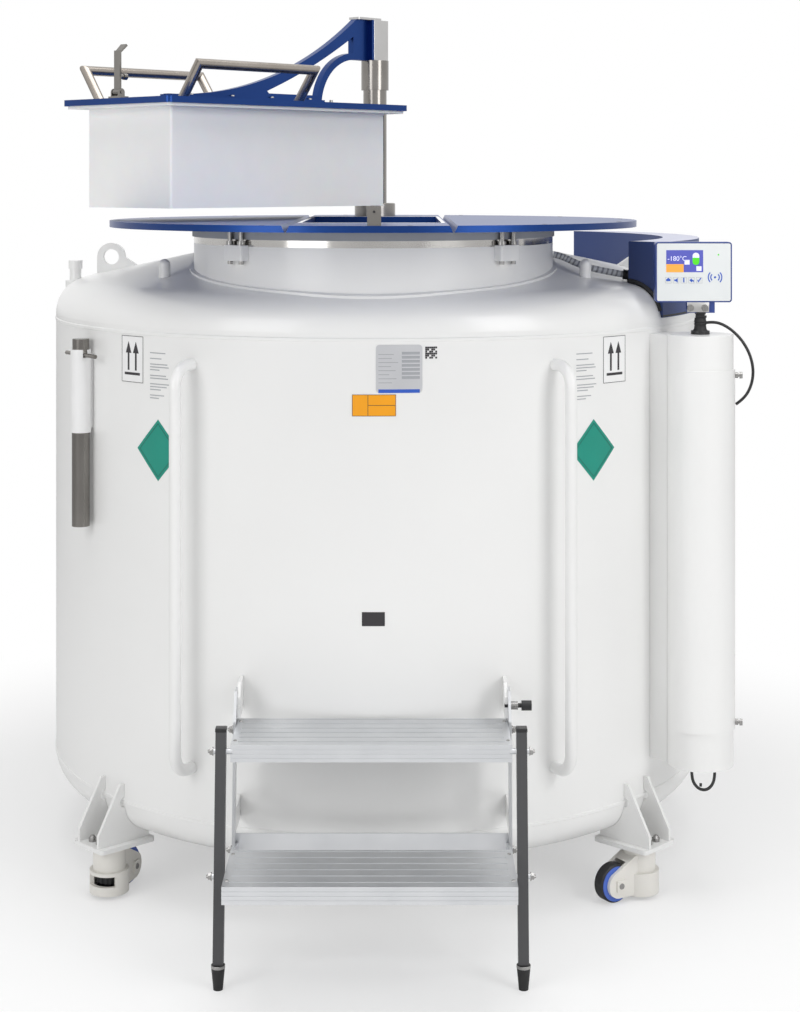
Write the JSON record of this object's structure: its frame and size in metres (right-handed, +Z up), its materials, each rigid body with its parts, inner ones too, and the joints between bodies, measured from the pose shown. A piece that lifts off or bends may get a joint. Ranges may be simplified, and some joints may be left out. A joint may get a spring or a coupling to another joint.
{
  "type": "liquid nitrogen storage tank",
  "caption": "Large vacuum-insulated storage tank on levelling casters, with a swing-out lid, a rotating sample carousel, a fold-out step and a control panel.",
  "frame": {"origin": "on the floor under the tank's axis", "axes": "+Z up, +X to the tank's right, -Y towards the user at the step"},
  "size_m": [1.7386, 2.0915, 2.119],
  "materials": {
    "white_paint": "satin gloss white",
    "painted_bracket": "satin gloss white",
    "vessel_steel": "brushed",
    "polished_steel": "polished",
    "fastener_steel": "bright",
    "grey_resin": "matte",
    "foam": "matte",
    "liner": "matte blue",
    "blue_anodised": "blue anodised",
    "bare_aluminium": "satin",
    "white_plastic": "satin",
    "caster_metal": "zinc",
    "caster_cream": "painted cream",
    "caster_tread": "matte",
    "step_aluminium": "ribbed",
    "leg_paint": "dark satin",
    "black_rubber": "matte",
    "black_knob": "gloss",
    "blue_case": "gloss",
    "white_glass": "gloss",
    "blue_textured": "fine texture",
    "hose_grey": "matte",
    "cable_black": "matte"
  },
  "bodies": {
    "tank": {"caster_brackets": "painted_bracket", "caster_flanges": "caster_metal", "deck_centre": "blue_anodised", "deck_clamps": "painted_bracket", "deck_collar": "grey_resin", "deck_left": "blue_anodised", "deck_right": "blue_anodised", "fill_hose": "hose_grey", "handrails": "white_paint", "hose_duct": "blue_textured", "inner_vessel": "vessel_steel", "latch_post": "polished_steel", "lift_guide": "polished_steel", "lifting_lugs": "painted_bracket", "loop_cable": "cable_black", "neck_band": "polished_steel", "neck_insulation": "foam", "outer_vessel": "white_paint", "panel_cable": "cable_black", "panel_socket": "black_knob", "probe_cover": "white_paint", "probe_strip": "painted_bracket", "probe_tube": "white_paint", "release_tool": "polished_steel", "slot_liner": "liner", "step_plates": "painted_bracket", "step_rails": "step_aluminium", "tank_fasteners": "fastener_steel", "tool_sleeve": "white_plastic", "vacuum_ports": "white_paint"},
    "carousel": {"carousel_plate": "bare_aluminium", "carousel_walls": "bare_aluminium"},
    "lift_column": {"lift_rod": "polished_steel"},
    "lid": {"lift_head": "bare_aluminium", "lid_arm": "blue_anodised", "lid_plate": "blue_anodised", "lid_plug": "white_plastic", "lid_handles": "polished_steel", "latch_bracket": "polished_steel"},
    "latch": {"latch_lever": "polished_steel"},
    "upper_step": {"upper_tread": "step_aluminium"},
    "lower_step": {"lower_tread": "step_aluminium"},
    "step_stand": {"step_legs": "leg_paint", "step_feet": "black_rubber"},
    "step_plunger": {"plunger": "black_knob"},
    "panel_mast": {"panel_stem": "black_knob"},
    "panel": {"panel_case": "blue_case", "panel_glass": "white_glass"},
    "swivel_front_right": {"caster_housing_front_right": "caster_cream"},
    "wheel_front_right": {"caster_wheel_front_right": "caster_tread"},
    "pad_front_right": {"caster_pad_front_right": "black_rubber"},
    "swivel_front_left": {"caster_housing_front_left": "caster_cream"},
    "wheel_front_left": {"caster_wheel_front_left": "caster_tread"},
    "pad_front_left": {"caster_pad_front_left": "black_rubber"},
    "swivel_rear_left": {"caster_housing_rear_left": "caster_cream"},
    "wheel_rear_left": {"caster_wheel_rear_left": "caster_tread"},
    "pad_rear_left": {"caster_pad_rear_left": "black_rubber"},
    "swivel_rear_right": {"caster_housing_rear_right": "caster_cream"},
    "wheel_rear_right": {"caster_wheel_rear_right": "caster_tread"},
    "pad_rear_right": {"caster_pad_rear_right": "black_rubber"}
  },
  "joints": [
    {"name": "carousel_spin", "type": "hinge", "parent": "tank", "child": "carousel", "pos_m": [0, 0, 0.316], "axis": [0, 0, 1], "continuous": true},
    {"name": "lid_lift", "type": "slide", "parent": "tank", "child": "lift_column", "axis": [0, 0, 1], "range_m": [-0.03, 0]},
    {"name": "lid_swing", "type": "hinge", "parent": "lift_column", "child": "lid", "pos_m": [-0.008, 0.143, 1.9], "axis": [0, 0, 1], "range_deg": [-60, 43.1]},
    {"name": "latch_hinge", "type": "hinge", "parent": "lid", "child": "latch", "pos_m": [-0.61475, -0.50538, 1.889], "axis": [0.7302, -0.6833, 0], "range_deg": [0, 100]},
    {"name": "upper_fold", "type": "hinge", "parent": "tank", "child": "upper_step", "pos_m": [0, -0.887, 0.475], "axis": [-1, 0, 0], "range_deg": [0, 80]},
    {"name": "lower_fold", "type": "hinge", "parent": "tank", "child": "lower_step", "pos_m": [0, -0.922, 0.224], "axis": [-1, 0, 0], "range_deg": [0, 80]},
    {"name": "leg_fold", "type": "hinge", "parent": "upper_step", "child": "step_stand", "pos_m": [0, -1.045, 0.475], "axis": [-1, 0, 0], "range_deg": [-80, 0]},
    {"name": "plunger_pull", "type": "slide", "parent": "tank", "child": "step_plunger", "axis": [1, 0, 0], "range_m": [0, 0.008], "stiffness_N_per_m": 800},
    {"name": "panel_pan", "type": "hinge", "parent": "tank", "child": "panel_mast", "pos_m": [0.7702, -0.5596, 1.34], "axis": [0, 0, 1], "range_deg": [-20, 60]},
    {"name": "panel_tilt", "type": "hinge", "parent": "panel_mast", "child": "panel", "pos_m": [0.7702, -0.5596, 1.378], "axis": [1, 0, 0], "range_deg": [-10, 25]},
    {"name": "caster_swivel_front_right", "type": "hinge", "parent": "tank", "child": "swivel_front_right", "pos_m": [0.62311, -0.58106, 0.09], "axis": [0, 0, 1], "continuous": true},
    {"name": "caster_roll_front_right", "type": "hinge", "parent": "swivel_front_right", "child": "wheel_front_right", "pos_m": [0.55564, -0.62404, 0.044], "axis": [0.5373, -0.8434, 0], "continuous": true},
    {"name": "caster_level_front_right", "type": "slide", "parent": "swivel_front_right", "child": "pad_front_right", "axis": [0, 0, 1], "range_m": [-0.011, 0]},
    {"name": "caster_swivel_front_left", "type": "hinge", "parent": "tank", "child": "swivel_front_left", "pos_m": [-0.62311, -0.58106, 0.09], "axis": [0, 0, 1], "continuous": true},
    {"name": "caster_roll_front_left", "type": "hinge", "parent": "swivel_front_left", "child": "wheel_front_left", "pos_m": [-0.59575, -0.50588, 0.044], "axis": [-0.9397, 0.342, 0], "continuous": true},
    {"name": "caster_level_front_left", "type": "slide", "parent": "swivel_front_left", "child": "pad_front_left", "axis": [0, 0, 1], "range_m": [-0.011, 0]},
    {"name": "caster_swivel_rear_left", "type": "hinge", "parent": "tank", "child": "swivel_rear_left", "pos_m": [-0.62311, 0.58106, 0.09], "axis": [0, 0, 1], "continuous": true},
    {"name": "caster_roll_rear_left", "type": "hinge", "parent": "swivel_rear_left", "child": "wheel_rear_left", "pos_m": [-0.55383, 0.62106, 0.044], "axis": [-0.5, 0.866, 0], "continuous": true},
    {"name": "caster_level_rear_left", "type": "slide", "parent": "swivel_rear_left", "child": "pad_rear_left", "axis": [0, 0, 1], "range_m": [-0.011, 0]},
    {"name": "caster_swivel_rear_right", "type": "hinge", "parent": "tank", "child": "swivel_rear_right", "pos_m": [0.62311, 0.58106, 0.09], "axis": [0, 0, 1], "continuous": true},
    {"name": "caster_roll_rear_right", "type": "hinge", "parent": "swivel_rear_right", "child": "wheel_rear_right", "pos_m": [0.55061, 0.61487, 0.044], "axis": [-0.4226, -0.9063, 0], "continuous": true},
    {"name": "caster_level_rear_right", "type": "slide", "parent": "swivel_rear_right", "child": "pad_rear_right", "axis": [0, 0, 1], "range_m": [-0.011, 0]}
  ],
  "couplings": [
    {"joint": "lower_fold", "follows": "upper_fold", "ratio": 1},
    {"joint": "leg_fold", "follows": "upper_fold", "ratio": -1}
  ]
}
